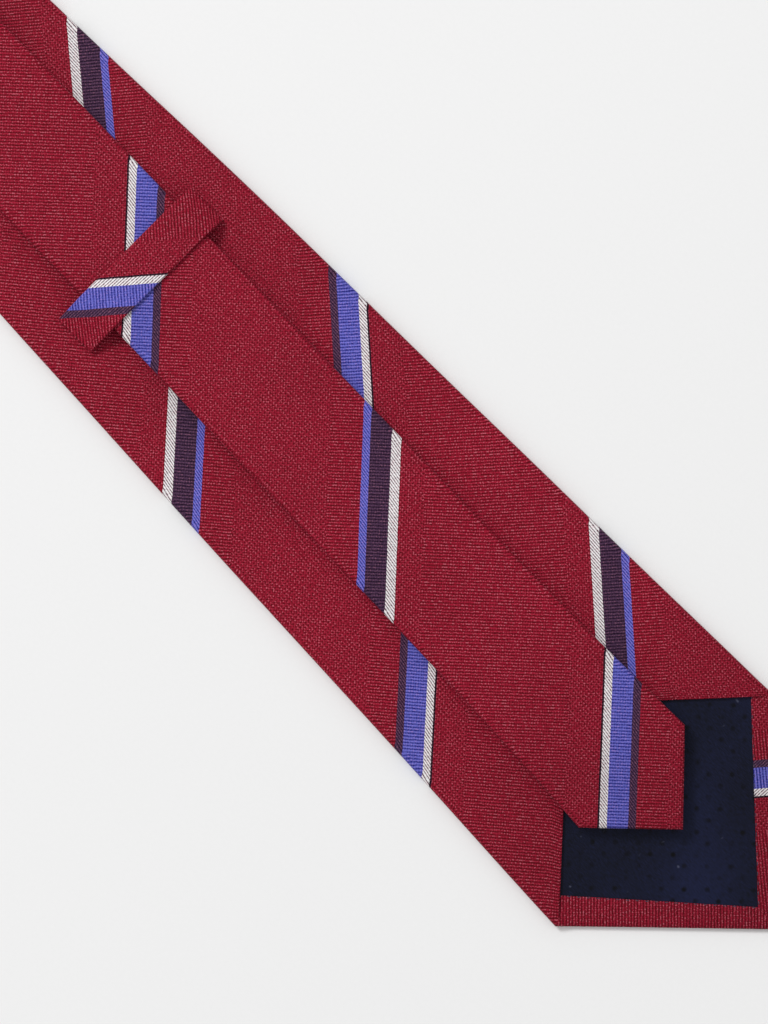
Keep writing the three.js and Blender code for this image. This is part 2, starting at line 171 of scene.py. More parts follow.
# ---- the stripes: how far a point of the cut cloth is across them, and how far along them
STRIPE_ANGLE = math.radians(44.3)
TAIL_STRIPE_ANGLE = math.radians(46.1)
STRIPE_START = 24.4 * MM          # where a wide dark stripe's group starts on the blade
TAIL_STRIPE_START = 166.5 * MM
NECK_STRIPE_START = 131 * MM
KEEPER_STRIPE_START = 177.4 * MM
KEEPER_STRIPE_ANGLE = math.radians(49.4)
BIAS_STRETCH = 1.017              # the narrow tail has stretched by this much


def blade_dye(s, t):
    across = s * math.sin(STRIPE_ANGLE) - t * math.cos(STRIPE_ANGLE) - STRIPE_START
    return across, -s * math.cos(STRIPE_ANGLE) - t * math.sin(STRIPE_ANGLE)


def plain_dye(s, t):
    return s, t


def leg_dye(start):
    def dye(s, t):
        across = start - s * math.sin(TAIL_STRIPE_ANGLE) - t * math.cos(TAIL_STRIPE_ANGLE)
        return across / BIAS_STRETCH, s * math.cos(TAIL_STRIPE_ANGLE) - t * math.sin(TAIL_STRIPE_ANGLE)
    return dye


def keeper_dye(s, t):
    across = KEEPER_STRIPE_START - s * math.sin(KEEPER_STRIPE_ANGLE) + t * math.cos(KEEPER_STRIPE_ANGLE)
    return across, -s * math.cos(KEEPER_STRIPE_ANGLE) - t * math.sin(KEEPER_STRIPE_ANGLE)


# ---- the two legs. A leg turns a place along it, across it and above its front face into a point of the frame.
RIPPLE = 0.16 * MM
EDGE_WAVE = 0.22 * MM


def ripple(x, y, layer):
    """Pressed cloth is never quite flat: how far it sinks at a place."""
    return RIPPLE * (1 + noise.noise(Vector((x * 22, y * 30, layer)))) / 2


def edge_wave(x, y, half, layer):
    return EDGE_WAVE * (y / half) * noise.noise(Vector((x * 17, math.copysign(3, y), layer)))


# one wing of the blade was folded a little askew: how far its cloth slid along the tie
NO_SKEW = [(0, 0), (1, 0)]
BLADE_SKEW = [(171 * MM, 3.9 * MM), (273 * MM, 1.0 * MM)]


class Leg:
    """A leg's widths, thickness, place and dye."""

    def __init__(self, sides, thick, place, dye, faces_up, skew=NO_SKEW):
        self.sides, self.thick, self.place, self.dye = sides, thick, place, dye
        self.faces_up, self.skew = faces_up, skew

    def half(self, x):
        return eased(self.sides, x)

    def flare(self, x):
        return (self.half(x + EASE) - self.half(x - EASE)) / (2 * EASE)

    def cut(self, x, t):
        """Where a point lies on the flat cloth. A folded wing is the mirror image of its cloth in the folded edge."""
        folded = max(0, abs(t) - self.half(x))
        skew = straight(self.skew, x) * smooth(-t / self.half(x))
        return x - 2 * folded * self.flare(x) + skew, t


def blade_thick(x):
    return mix(SLEEVE_THICK, BLADE_THICK, smooth((x - SLEEVE_X) / SLEEVE_RAMP))


def blade_place(x, y, height):
    thick = blade_thick(x)
    sink = ripple(x, y, 1) * height / thick
    return Vector((x, y + edge_wave(x, y, BLADE_HALF, 5), height - sink))


def tail_place(x, y, height):
    sink = ripple(x, y, 2) * (1 - height / TAIL_THICK)
    across = eased(TAIL_MIDDLE, x) + y + edge_wave(x, y, TAIL_HALF, 6)
    return Vector((x, across, TAIL_FRONT - height - sink))


TONGUE_PRESSED = 0.84             # inside the blade's sleeve the tongue is pressed this much thinner
TONGUE_RUN = 20 * MM


def fold_place(x, y, height):
    """Places beyond the fold's start are measured along the cloth's middle: round the fold, then back inside the blade."""
    if x >= FOLD_X:
        return tail_place(x, y, height)
    middle = FOLD_RADIUS - TAIL_THICK / 2
    turn = (FOLD_X - x) / middle
    sink = ripple(x, y, 2) * (1 - height / TAIL_THICK) * (1 - smooth(turn))
    across = y + edge_wave(x, y, TAIL_HALF, 6)
    level = TAIL_FRONT - FOLD_RADIUS
    if turn < math.pi:
        reach = FOLD_RADIUS - height - sink
        return Vector((FOLD_X - reach * math.sin(turn), across, level + reach * math.cos(turn)))
    inward = (turn - math.pi) * middle
    pressed = mix(1, TONGUE_PRESSED, smooth(inward / TONGUE_RUN))
    return Vector((FOLD_X + inward, across, level - FOLD_RADIUS + height * pressed))


blade = Leg(BLADE_SIDES, blade_thick, blade_place, blade_dye, False, BLADE_SKEW)
tail = Leg(TAIL_SIDES, lambda x: TAIL_THICK, tail_place, leg_dye(TAIL_STRIPE_START), True)
neck = Leg(TAIL_SIDES, lambda x: TAIL_THICK, tail_place, leg_dye(NECK_STRIPE_START), True)
fold = Leg(TAIL_SIDES, lambda x: TAIL_THICK, fold_place, leg_dye(NECK_STRIPE_START), True)


# ---- making pieces
class Sheet:
    """A piece of cloth, collected patch by patch. Each point has its place and its place on the flat cloth."""

    def __init__(self, dye):
        self.dye, self.points, self.cut, self.faces = dye, [], [], []

    def patch(self, rows, flip=False):
        """Adds quads between rows of (point, (s, t))."""
        start, width = len(self.points), len(rows[0])
        for row in rows:
            self.points += [point for point, _ in row]
            self.cut += [cut for _, cut in row]
        for i in range(len(rows) - 1):
            for j in range(width - 1):
                first = start + i * width + j
                face = (first, first + 1, first + width + 1, first + width)
                self.faces.append(face[::-1] if flip else face)

    def flat_size(self):
        """Width and length of the flat cloth."""
        return [max(c[i] for c in self.cut) - min(c[i] for c in self.cut) for i in (1, 0)]

    def piece(self, name, thickness, finish, offset=-1, angle=40):
        """Joins the patches, gives the cloth its thickness, and returns the object and its flat area."""
        mesh = bpy.data.meshes.new(name)
        mesh.from_pydata(self.points, [], self.faces)
        layer = mesh.uv_layers.new(name="cloth")
        for loop in mesh.loops:
            layer.data[loop.index].uv = self.dye(*self.cut[loop.vertex_index])
        piece = bpy.data.objects.new(name, mesh)
        bpy.context.scene.collection.objects.link(piece)
        mesh.materials.append(finish)
        choose(piece)
        bpy.ops.object.mode_set(mode="EDIT")
        bpy.ops.mesh.select_all(action="SELECT")
        bpy.ops.mesh.remove_doubles(threshold=0.02 * MM)
        bpy.ops.mesh.dissolve_degenerate(threshold=0.01 * MM)
        bpy.ops.object.mode_set(mode="OBJECT")
        area = sum(face.area for face in mesh.polygons)
        wall = piece.modifiers.new("wall", "SOLIDIFY")
        wall.thickness = thickness
        wall.offset = offset
        bpy.ops.object.modifier_apply(modifier="wall")
        bpy.ops.object.shade_smooth_by_angle(angle=math.radians(angle))
        return piece, area


def choose(piece):
    bpy.ops.object.select_all(action="DESELECT")
    piece.select_set(True)
    bpy.context.view_layer.objects.active = piece


def section(half, thick):
    """The cross-section of the folded cloth, from one turned edge round the front to the other: (y, height, t)."""
    radius = thick / 2
    flat = half - radius
    side = []
    for i in range(1, FRONT_STEPS // 2 + 1):
        y = flat * 2 * i / FRONT_STEPS
        side.append((y, 0, y))
    for i in range(1, ROUND_STEPS + 1):
        share = i / ROUND_STEPS
        turn = math.pi * share
        side.append((flat + radius * math.sin(turn), radius * (1 - math.cos(turn)), flat + 2 * radius * share))
    edge = SLIT + LIP
    for i in range(1, WING_STEPS + 1):
        y = mix(flat, edge, i / WING_STEPS)
        side.append((y, thick, 2 * half - y))
    for i in range(1, LIP_STEPS + 1):
        turn = math.pi * i / LIP_STEPS
        side.append((edge - LIP * math.sin(turn), thick - LIP * (1 - math.cos(turn)), 2 * half - edge + LIP * turn))
    side.append((edge + LIP_UNDER, thick - 2 * LIP, 2 * half - edge + math.pi * LIP + LIP_UNDER))
    other = [(-y, height, -t) for y, height, t in reversed(side)]
    return other + [(0, 0, 0)] + side


def folded_row(leg, places, half=None):
    """One row across the folded cloth. places gives each column's place along the leg."""
    row = []
    for column, x in enumerate(places):
        y, height, t = section(half or leg.half(x), leg.thick(x))[column]
        row.append((leg.place(x, y, height), leg.cut(x, t)))
    return row


def slanted(leg, x, bias):
    """A row's places. Near a bias seam the row slants with it; bias is the share of that slant."""
    return [x + bias * y for y, _, _ in section(leg.half(x), leg.thick(x))]


BIAS_RUN = 50 * MM
SEAM_ROLL = 0.5 * MM
SEAM_SINK = 0.32


def folded_strip(name, leg, places, finish):
    """A stretch of folded cloth with two plain ends. At the bias seam its end slants and rolls down into the seam."""
    sheet = Sheet(leg.dye)
    rows = [folded_row(leg, slanted(leg, x, smooth(1 - abs(x - SEAM_X) / BIAS_RUN))) for x in places]
    if SEAM_X in places:
        row = rows[places.index(SEAM_X)]
        inward = math.copysign(1, sum(places) / len(places) - SEAM_X)
        shoulder = folded_row(leg, [x + inward * SEAM_ROLL for x in slanted(leg, SEAM_X, 1)])
        level = leg.place(SEAM_X, 0, TAIL_THICK / 2).z
        for column, (point, cut) in enumerate(row):
            row[column] = (Vector((point.x, point.y * 0.98, mix(point.z, level, SEAM_SINK))), cut)
        rows.insert(1 if row is rows[0] else len(rows) - 1, shoulder)
    sheet.patch(rows, flip=(places[-1] > places[0]) == leg.faces_up)
    piece, area = sheet.piece(name, CLOTH, finish)
    return piece


HEM_SLIP = {1: 1.1 * MM, -1: 0}   # how far the hem's cloth slid towards the corner as it was turned


class PointedEnd:
    """The point of a leg: its corners, its wings' slanting edges and its hem. trims shorten the +Y side a little."""

    def __init__(self, leg, point, corner, apex, hems, trims=(0, 0)):
        self.leg, self.point = leg, point
        self.half = leg.half(corner)
        self.thick = leg.thick(corner)
        self.radius = self.thick / 2
        self.flat = self.half - self.radius
        self.corner = {1: corner - trims[0], -1: corner}
        self.apex = {1: apex - trims[1], -1: apex}
        self.slope = {side: math.atan2(self.half, point - self.corner[side]) for side in (1, -1)}
        self.base = {side: self.corner[side] - self.radius * math.tan(self.slope[side] / 2) for side in (1, -1)}
        self.front = point - self.radius * math.sqrt(2)
        self.hem_round = (self.thick - HEM_DROP) / 2
        self.hem_start = {1: self.hem_corner(1, hems[0]), -1: self.hem_corner(-1, hems[1])}
        self.hem_point = point - HEM_AT_POINT * math.sqrt(2)

    def edge(self, side):
        """The direction of the point's edge, towards the point, and the direction out of it, as on the +Y side."""
        slope = self.slope[side]
        return Vector((math.cos(slope), -math.sin(slope))), Vector((math.sin(slope), math.cos(slope)))

    def hem_corner(self, side, hem):
        along, outward = self.edge(side)
        return Vector((self.corner[side], self.half)) - outward * hem - along * HEM_TUCK

    def column_end(self, y, height):
        """Where a column of the folded cloth ends: at the corner's mitre, or on the wings' slanting edge."""
        side = 1 if y >= 0 else -1
        inside = self.half - abs(y)
        if height > self.thick - 3 * LIP and inside > self.radius:
            return mix(self.apex[side], self.base[side], abs(y) / self.flat)
        if inside >= self.radius:
            return mix(self.base[-1], self.base[1], (y / self.flat + 1) / 2)
        return self.corner[side] - inside * math.tan(self.slope[side] / 2)

    def mirrored(self, flat, side):
        """Where a point of the turned hem lies on the flat cloth: its mirror image in the point's edge."""
        along, outward = self.edge(side)
        inside = (Vector((self.point, 0)) - flat).dot(outward)
        return flat + 2 * inside * outward + along * HEM_SLIP[side] * smooth(inside / (2 * MM))


END_RUN = 90 * MM                 # the rows swing round towards the wings' slanting edges over this length
TIP_STEPS = FRONT_STEPS // 2


def quad(corners, i, j):
    """A point of the four-sided patch between corners, at shares i and j."""
    a, b, c, d = corners
    return mix(mix(a, b, i), mix(d, c, i), j)


def pointed_strip(name, end, start, finish, mouth=None):
    """The folded cloth from start to its point: front, sides and wings, the pointed front, and the two hems."""
    leg = end.leg
    sheet = Sheet(leg.dye)
    profile = section(end.half, end.thick)
    ends = [end.column_end(y, height) for y, height, _ in profile]
    base = min(end.base.values())
    swing = base - END_RUN

    def places(x):
        bias = smooth(1 - (x - mouth) / BIAS_RUN) if mouth is not None else 0
        row = slanted(leg, x, bias)
        if x <= swing:
            return row
        share = (x - swing) / END_RUN
        return [mix(swing, stop, share) for stop in ends]

    rows = [folded_row(leg, places(x)) for x in evenly(start, swing) + evenly(swing, base)[1:]]
    rows[-1] = folded_row(leg, ends, end.half)
    sheet.patch(rows, flip=leg.faces_up)
    left, right = Vector((end.base[-1], -end.flat)), Vector((end.base[1], end.flat))
    corners = [(left + right) / 2, right, Vector((end.front, 0)), left]
    tip = []
    for i in range(TIP_STEPS + 1):
        row = []
        for j in range(TIP_STEPS + 1):
            flat = quad(corners, i / TIP_STEPS, j / TIP_STEPS)
            row.append((leg.place(flat.x, flat.y, 0), (flat.x, flat.y)))
        tip.append(row)
    sheet.patch(tip, flip=not leg.faces_up)
    for side in (1, -1):
        up = leg.faces_up if side > 0 else not leg.faces_up
        sheet.patch(hem_rows(end, side), flip=up)
        sheet.patch(wing_edge_rows(end, rows[-1], side), flip=not up)
    piece, area = sheet.piece(name, CLOTH, finish)
    return piece


def hem_rows(end, side):
    """The cloth turned over one edge of the point: round the edge, across the hem, and round its inner edge."""
    outward = end.edge(side)[1]
    first, last = Vector((end.base[side], end.flat)), Vector((end.front, 0))
    first_turn = Vector((math.tan(end.slope[side] / 2), 1)) * end.radius
    last_turn = Vector((math.sqrt(2), 0)) * end.radius
    inner_last = Vector((end.hem_point, 0))
    length = (last - first).length
    rows = []
    for i in range(TIP_STEPS * 2 + 1):
        share = i / (TIP_STEPS * 2)
        start, inner = mix(first, last, share), mix(end.hem_start[side], inner_last, share)
        rise = mix(end.radius, end.hem_round, smooth(share * length / HEM_SETTLE))
        top = 2 * end.hem_round
        across = []
        for j in range(ROUND_STEPS + 1):
            turn = math.pi * j / ROUND_STEPS
            flat = start + mix(first_turn, last_turn, share) * math.sin(turn)
            across.append((flat, rise * (1 - math.cos(turn)), j > ROUND_STEPS / 2))
        for j in range(1, 5):
            across.append((mix(start, inner, j / 4), mix(2 * rise, top, smooth(j / 2)), True))
        for j in range(1, LIP_STEPS + 1):
            turn = math.pi * j / LIP_STEPS / 2
            flat = inner - outward * HEM_LIP * math.sin(turn)
            across.append((flat, top - HEM_LIP * (1 - math.cos(turn)), True))
        row = []
        for flat, height, turned in across:
            cut = end.mirrored(flat, side) if turned else flat
            row.append((end.leg.place(flat.x, side * flat.y, height), (cut.x, side * cut.y)))
        rows.append(row)
    return rows


def wing_edge_rows(end, last_row, side):
    """The rolled edge of one wing, where it was cut slanting and turned under."""
    middle = len(last_row) // 2
    first = FRONT_STEPS // 2 + ROUND_STEPS
    along_edge = Vector((end.base[side] - end.apex[side], end.flat)).normalized()
    outward = Vector((along_edge.y, -along_edge.x))
    profile = section(end.half, end.thick)
    rows = []
    for i in range(WING_STEPS + 1):
        column = middle + side * (first + i)
        y, height, _ = profile[column]
        start = Vector((end.column_end(y, height), abs(y)))
        radius = LIP * smooth((end.flat - abs(y)) / (6 * MM))
        cut = last_row[column][1]
        row = []
        for j in range(LIP_STEPS + 1):
            turn = math.pi * j / LIP_STEPS
            flat = start + outward * radius * math.sin(turn)
            drop = radius * (1 - math.cos(turn))
            row.append((end.leg.place(flat.x, side * flat.y, end.thick - drop), (cut[0] + radius * turn, cut[1])))
        flat = start - outward * LIP_UNDER * radius / LIP
        row.append((end.leg.place(flat.x, side * flat.y, end.thick - 2 * radius), (cut[0] + LIP_UNDER, cut[1])))
        rows.append(row)
    return rows


def pointed_layer(name, leg, start, left, right, point, height, thickness, finish):
    """A flat layer with a point, such as a lining or an interlining. left and right are its corners."""
    sheet = Sheet(plain_dye)
    rows = []
    count = round((left.x - start) / STEP)
    for i in range(count + 1):
        row = []
        for j in range(-TIP_STEPS, TIP_STEPS + 1):
            corner = mix(left, right, (j / TIP_STEPS + 1) / 2)
            x = mix(start, corner.x, i / count)
            y = (leg.half(x) - leg.half(corner.x) + abs(left.y if j < 0 else right.y)) * j / TIP_STEPS
            row.append((leg.place(x, y, height), (x, y)))
        rows.append(row)
    sheet.patch(rows, flip=not leg.faces_up)
    corners = [Vector(rows[-1][TIP_STEPS][1]), right, Vector((point, 0)), left]
    tip = []
    for i in range(TIP_STEPS + 1):
        row = []
        for j in range(TIP_STEPS + 1):
            flat = quad(corners, i / TIP_STEPS, j / TIP_STEPS)
            row.append((leg.place(flat.x, flat.y, height), (flat.x, flat.y)))
        tip.append(row)
    sheet.patch(tip, flip=leg.faces_up)
    piece, area = sheet.piece(name, thickness, finish)
    return piece


def plain_layer(name, leg, places, inset, height, thickness, finish):
    """A flat layer with two plain ends."""
    sheet = Sheet(plain_dye)
    rows = []
    for x in places:
        reach = leg.half(x) - inset
        rows.append([(leg.place(x, reach * j / 4, height), (x, reach * j / 4)) for j in range(-4, 5)])
    sheet.patch(rows, flip=(places[-1] > places[0]) != leg.faces_up)
    piece, area = sheet.piece(name, thickness, finish)
    return piece


# ---- the keeper: a flat tube of silk, swept round a ring that hugs the tail
KEEPER_THICK = 0.9 * MM
KEEPER_CLOTH = 0.3 * MM
KEEPER_UNDER = 3.42 * MM          # heights of the band's middle, under and over the tail
KEEPER_OVER = TAIL_FRONT + 0.6 * MM
KEEPER_ROUND = [
    # from under the tail's middle up the -Y end, over the tail, and down the +Y end: (across, height)
    (0 * MM, KEEPER_UNDER), (-8 * MM, KEEPER_UNDER), (-16 * MM, KEEPER_UNDER), (-22.6 * MM, KEEPER_UNDER),
    (-24.0 * MM, 3.5 * MM), (-24.75 * MM, 4.0 * MM), (-24.0 * MM, 4.6 * MM), (-21.8 * MM, 5.4 * MM),
    (-19.2 * MM, 6.6 * MM), (-17.4 * MM, KEEPER_OVER - 0.3 * MM), (-15.4 * MM, KEEPER_OVER), (-8 * MM, KEEPER_OVER),
    (0 * MM, KEEPER_OVER), (9 * MM, KEEPER_OVER), (16 * MM, KEEPER_OVER), (18.8 * MM, KEEPER_OVER - 0.05 * MM),
    (20.8 * MM, KEEPER_OVER - 0.7 * MM), (22.6 * MM, 6.0 * MM), (24.3 * MM, 4.8 * MM), (24.75 * MM, 4.0 * MM),
    (24.0 * MM, 3.5 * MM), (22.6 * MM, KEEPER_UNDER), (16 * MM, KEEPER_UNDER), (8 * MM, KEEPER_UNDER),
]
BAND_STEPS = 8


def curve_point(points, i, share):
    """A point on the smooth closed curve through the points."""
    a, b, c, d = (Vector(points[(i + k) % len(points)]) for k in (-1, 0, 1, 2))
    return b + share / 2 * ((c - a) + share * ((2 * a - 5 * b + 4 * c - d) + share * (3 * b - 3 * c + d - a)))


def keeper_piece(name, finish):
    path = [curve_point(KEEPER_ROUND, i, k / 4) for i in range(len(KEEPER_ROUND)) for k in range(4)]
    round_edge = KEEPER_THICK / 2
    flat = KEEPER_WIDTH / 2 - round_edge
    half_inside = [(flat * i / BAND_STEPS, -round_edge, 2 * flat + math.pi * round_edge - flat * i / BAND_STEPS)
                   for i in range(BAND_STEPS)]
    edge = [(flat + round_edge * math.sin(turn), -round_edge * math.cos(turn), flat + round_edge * (math.pi - turn))
            for turn in (math.pi * i / ROUND_STEPS for i in range(ROUND_STEPS))]
    outside = [(flat * (1 - i / BAND_STEPS), round_edge, flat * (1 - i / BAND_STEPS)) for i in range(BAND_STEPS)]
    right = half_inside + edge + outside
    band = [(-along, off, -cut) for along, off, cut in right] + [(0, round_edge, 0)] + right[::-1]
    turned = Matrix.Rotation(KEEPER_TURN, 3, "Z")
    centre = Vector((KEEPER_X, 0, 0))
    sheet = Sheet(keeper_dye)
    rows = []
    steps = [(after - here).length for here, after in zip(path, path[1:] + path[:1])]
    length = -sum(steps[:len(path) // 2])
    for i in range(len(path) + 1):
        here, after, before = path[i % len(path)], path[(i + 1) % len(path)], path[i - 1]
        length += steps[i - 1] if i else 0
        heading = (after - before).normalized()
        out = Vector((-heading.y, heading.x))
        row = []
        for along, off, cut in band:
            soft = off + 0.12 * MM * noise.noise(Vector((along * 60, length * 60, 8)))
            flat_point = here + out * soft
            point = centre + turned @ Vector((along, flat_point.x, flat_point.y))
            row.append((point, (KEEPER_X + cut, length)))
        rows.append(row)
    sheet.patch(rows)
    piece, area = sheet.piece(name, KEEPER_CLOTH, finish)
    width, length = sheet.flat_size()
    return piece


# ---- stitches: one is modelled, then copied along its row
THREAD = 0.3 * MM


def stitch(length):
    """One stitch, which lies along X and dips into the cloth at both ends."""
    bpy.ops.object.select_all(action="DESELECT")
    bpy.ops.mesh.primitive_cylinder_add(vertices=8, radius=THREAD / 2, depth=length, rotation=(0, math.pi / 2, 0))
    piece = bpy.context.active_object
    bpy.ops.object.transform_apply(rotation=True)
    bpy.ops.object.mode_set(mode="EDIT")
    for share in (-0.35, 0, 0.35):
        bpy.ops.mesh.select_all(action="SELECT")
        bpy.ops.mesh.bisect(plane_co=(share * length, 0, 0), plane_no=(1, 0, 0))
    bpy.ops.mesh.select_all(action="DESELECT")
    shape = bmesh.from_edit_mesh(piece.data)
    for vertex in shape.verts:
        vertex.select = abs(vertex.co.x) > 0.45 * length
    shape.select_flush(True)
    bmesh.update_edit_mesh(piece.data)
    bpy.ops.transform.translate(value=(0, 0, -THREAD))
    bpy.ops.transform.resize(value=(1, 0.6, 0.6))
    bpy.ops.object.mode_set(mode="OBJECT")
    return piece


def stitch_row(name, length, places, finish):
    """Copies of one stitch at each (point, heading), as one piece."""
    first = stitch(length)
    shape = bmesh.new()
    for point, heading in places:
        before = len(shape.verts)
        shape.from_mesh(first.data)
        shape.verts.ensure_lookup_table()
        place = Matrix.Translation(point) @ heading.to_track_quat("X", "Z").to_matrix().to_4x4()
        bmesh.ops.transform(shape, matrix=place, verts=shape.verts[before:])
    mesh = bpy.data.meshes.new(name)
    shape.to_mesh(mesh)
    shape.free()
    bpy.data.objects.remove(first)
    piece = bpy.data.objects.new(name, mesh)
    bpy.context.scene.collection.objects.link(piece)
    mesh.materials.append(finish)
    choose(piece)
    bpy.ops.object.shade_smooth_by_angle(angle=math.radians(60))
    return piece


SLIP_LENGTH = 7 * MM
SLIP_PITCH = 11 * MM
SLIP_DEPTH = 0.35 * MM
SEAM_LENGTH = 1.3 * MM
SEAM_PITCH = 2.6 * MM
TACK_WRAPS = 5


def slip_places(leg, start, end):
    """Long loose stitches down in the slit between the wings."""
    places = []
    for x in evenly(start, end, SLIP_PITCH)[:-1]:
        middle = x + math.copysign(SLIP_PITCH / 2, end - start)
        ahead, behind = (leg.place(middle + step, 0, leg.thick(middle) - SLIP_DEPTH) for step in (MM, -MM))
        places.append(((ahead + behind) / 2, ahead - behind))
    return places


def tack_places(leg, x, height):
    """A bar of stitches side by side across the slit."""
    step = THREAD * 1.1
    return [(leg.place(x + i * step, 0, height), Vector((0, 1, 0))) for i in range(TACK_WRAPS)]


def line_places(start, end, pitch):
    heading = end - start
    count = max(1, int(heading.length / pitch))
    return [(mix(start, end, (i + 0.5) / count), heading) for i in range(count)]


# ---- materials
def tree_of(name):
    finish = bpy.data.materials.new(name)
    finish.use_nodes = True
    return finish, Nodes(finish.node_tree)


class Nodes:
    """Short ways to add nodes and link them."""

    def __init__(self, tree):
        self.tree = tree

    def add(self, kind, **settings):
        node = self.tree.nodes.new(kind)
        for setting, value in settings.items():
            setattr(node, setting, value)
        return node

    def feed(self, socket, value):
        if isinstance(value, bpy.types.NodeSocket):
            self.tree.links.new(value, socket)
        elif value is not None:
            socket.default_value = value

    def math(self, operation, *values):
        node = self.add("ShaderNodeMath", operation=operation)
        for socket, value in zip(node.inputs, values):
            self.feed(socket, value)
        return node.outputs[0]

    def swing(self, value, length):
        """A wave from -1 to 1 of the given length."""
        return self.math("SINE", self.math("MULTIPLY", value, 2 * math.pi / length))

    def wave(self, value, length):
        """A wave from 0 to 1 of the given length."""
        return self.math("MULTIPLY_ADD", self.swing(value, length), 0.5, 0.5)

    def mix(self, share, a, b, blend="MIX"):
        node = self.add("ShaderNodeMix", data_type="RGBA", blend_type=blend)
        self.feed(node.inputs["Factor"], share)
        self.feed(node.inputs[6], a)
        self.feed(node.inputs[7], b)
        return node.outputs[2]

    def level(self, share, a, b):
        node = self.add("ShaderNodeMix")
        for socket, value in zip((node.inputs[0], node.inputs[2], node.inputs[3]), (share, a, b)):
            self.feed(socket, value)
        return node.outputs[0]

    def tone(self, value):
        """A grey of that brightness."""
        node = self.add("ShaderNodeCombineColor")
        for socket in node.inputs:
            self.feed(socket, value)
        return node.outputs[0]

    def bands(self, place, stops):
        """Even bands of colour: (start, colour) pairs between 0 and 1."""
        node = self.add("ShaderNodeValToRGB")
        node.color_ramp.interpolation = "CONSTANT"
        stop = node.color_ramp.elements
        stop[0].position, stop[0].color = 0, stops[0][1]
        stop[1].position, stop[1].color = stops[1]
        for position, colour in stops[2:]:
            stop.new(position).color = colour
        self.feed(node.inputs[0], place)
        return node.outputs[0]

    def range(self, value, low, high, to_low=0.0, to_high=1.0):
        node = self.add("ShaderNodeMapRange")
        for socket, number in zip(node.inputs, (value, low, high, to_low, to_high)):
            self.feed(socket, number)
        return node.outputs[0]

    def noise(self, vector, scale, detail=2.0, roughness=0.5):
        node = self.add("ShaderNodeTexNoise")
        self.feed(node.inputs["Vector"], vector)
        node.inputs["Scale"].default_value = scale
        node.inputs["Detail"].default_value = detail
        node.inputs["Roughness"].default_value = roughness
        return node.outputs["Fac"]

    def pair(self, x, y):
        node = self.add("ShaderNodeCombineXYZ")
        self.feed(node.inputs[0], x)
        self.feed(node.inputs[1], y)
        return node.outputs[0]

    def cloth_place(self):
        """The place on the flat cloth, in metres: across the stripes, and along them."""
        place = self.add("ShaderNodeSeparateXYZ")
        self.feed(place.inputs[0], self.add("ShaderNodeUVMap", uv_map="cloth").outputs[0])
        return place.outputs[0], place.outputs[1]

    def bump(self, height, distance, strength=1.0):
        node = self.add("ShaderNodeBump")
        self.feed(node.inputs["Height"], height)
        node.inputs["Distance"].default_value = distance
        node.inputs["Strength"].default_value = strength
        return node.outputs[0]

    def finish(self, colour, roughness, normal, **constants):
        shader = self.tree.nodes["Principled BSDF"]
        self.feed(shader.inputs["Base Color"], colour)
        self.feed(shader.inputs["Roughness"], roughness)
        self.feed(shader.inputs["Normal"], normal)
        for socket, value in constants.items():
            shader.inputs[socket.replace("_", " ")].default_value = value


def dye(red, green, blue):
    """A colour given as it looks, from 0 to 255."""
    def linear(value):
        value /= 255
        return value / 12.92 if value <= 0.04045 else ((value + 0.055) / 1.055) ** 2.4
    return linear(red) / EXPOSURE, linear(green) / EXPOSURE, linear(blue) / EXPOSURE, 1


EXPOSURE = 1.08                   # how much brighter than its dye a cloth looks in this light


def yarn_group():
    """Uneven yarn: thick and thin places along it, and flecks: darker loose hairs in the wool, painted glints on the
    silk and lining. Used by every woven and twisted finish.
    """
    group = bpy.data.node_groups.new("uneven yarn", "ShaderNodeTree")
    for name in ("Along", "Across", "Yarn Length", "Yarn Width"):
        group.interface.new_socket(name, in_out="INPUT", socket_type="NodeSocketFloat")
    for name in ("Slub", "Fleck"):
        group.interface.new_socket(name, in_out="OUTPUT", socket_type="NodeSocketFloat")
    nodes = Nodes(group)
    source, result = nodes.add("NodeGroupInput"), nodes.add("NodeGroupOutput")
    along = nodes.math("DIVIDE", source.outputs["Along"], source.outputs["Yarn Length"])
    across = nodes.math("DIVIDE", source.outputs["Across"], source.outputs["Yarn Width"])
    place = nodes.pair(along, across)
    slub = nodes.range(nodes.noise(place, 1.0, 3.0, 0.6), 0.3, 0.7)
    fleck = nodes.range(nodes.noise(place, 2.7, 1.0), 0.68, 0.8)
    nodes.feed(result.inputs["Slub"], slub)
    nodes.feed(result.inputs["Fleck"], fleck)
    return group


YARN = yarn_group()


def yarn(nodes, along, across, length, width):
    node = nodes.add("ShaderNodeGroup", node_tree=YARN)
    nodes.feed(node.inputs["Along"], along)
    nodes.feed(node.inputs["Across"], across)
    node.inputs["Yarn Length"].default_value = length
    node.inputs["Yarn Width"].default_value = width
    return node.outputs["Slub"], node.outputs["Fleck"]


